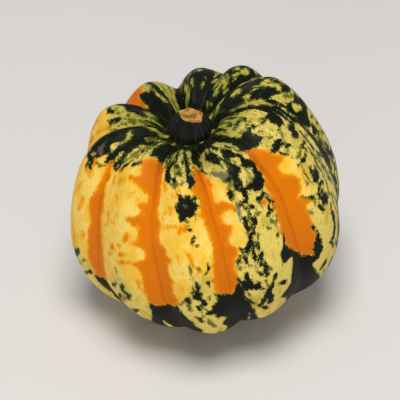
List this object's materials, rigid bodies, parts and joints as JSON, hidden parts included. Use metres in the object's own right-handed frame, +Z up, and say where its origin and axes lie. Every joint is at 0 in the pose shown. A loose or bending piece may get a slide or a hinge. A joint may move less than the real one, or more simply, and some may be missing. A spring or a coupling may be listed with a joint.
{
  "type": "acorn squash",
  "caption": "Round ribbed winter squash fruit, mottled green, cream and orange, with a short broken stem stub in its top hollow, leaning a little on a small flat spot.",
  "frame": {"origin": "on the ground under the middle of the fruit's bounding box", "axes": "+Z up, -Y towards the side with the widest orange band, -X towards the side that the stem end leans to"},
  "size_m": [0.1322, 0.1242, 0.1236],
  "materials": {
    "rind": "satin mottled rind: dark green, pale yellow-green and cream with orange bands in the furrows",
    "stem_cork": "matt ridged dark green-black stub with a tan corky broken face"
  },
  "bodies": {
    "root": {"squash_body": "rind", "stem": "stem_cork"}
  },
  "joints": []
}
